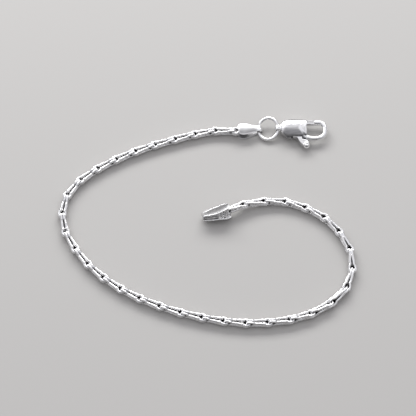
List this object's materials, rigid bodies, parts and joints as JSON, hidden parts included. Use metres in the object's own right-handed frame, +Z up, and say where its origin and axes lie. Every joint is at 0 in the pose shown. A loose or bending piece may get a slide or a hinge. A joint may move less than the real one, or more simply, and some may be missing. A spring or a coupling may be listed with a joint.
{
  "type": "chain bracelet",
  "caption": "Slim loop-in-loop silver chain bracelet lying open, with a lobster clasp and jump ring at one end and folded solder tags at both.",
  "frame": {"origin": "centre of the laid-out bracelet's outline, on the surface it lies on", "axes": "+X across the long way of the laid-out loop, from the bend on one side to the bend on the other; +Y towards the clasp's side; +Z up from the surface"},
  "size_m": [0.0608, 0.0482, 0.0036],
  "materials": {
    "clasp_silver": "polished sterling silver",
    "tag_silver": "lightly brushed sterling silver",
    "chain_silver": "polished sterling silver wire"
  },
  "bodies": {
    "bracelet": {"clasp_body": "clasp_silver", "jump_ring": "clasp_silver", "tag_clasp_end": "tag_silver", "link_01": "chain_silver", "link_02": "chain_silver", "link_03": "chain_silver", "link_04": "chain_silver", "link_05": "chain_silver", "link_06": "chain_silver", "link_07": "chain_silver", "link_08": "chain_silver", "link_09": "chain_silver", "link_10": "chain_silver", "link_11": "chain_silver", "link_12": "chain_silver", "link_13": "chain_silver", "link_14": "chain_silver", "link_15": "chain_silver", "link_16": "chain_silver", "link_17": "chain_silver", "link_18": "chain_silver", "link_19": "chain_silver", "link_20": "chain_silver", "link_21": "chain_silver", "link_22": "chain_silver", "link_23": "chain_silver", "link_24": "chain_silver", "link_25": "chain_silver", "link_26": "chain_silver", "link_27": "chain_silver", "link_28": "chain_silver", "link_29": "chain_silver", "link_30": "chain_silver", "link_31": "chain_silver", "link_32": "chain_silver", "link_33": "chain_silver", "link_34": "chain_silver", "link_35": "chain_silver", "tag_free_end": "tag_silver"},
    "lever": {"clasp_lever": "clasp_silver"}
  },
  "joints": [
    {"name": "lever_hinge", "type": "hinge", "parent": "bracelet", "child": "lever", "pos_m": [0.01928, 0.02218, 0.00131], "axis": [0, 0, -1], "range_deg": [0, 20], "stiffness_Nm_per_rad": 0.004}
  ]
}
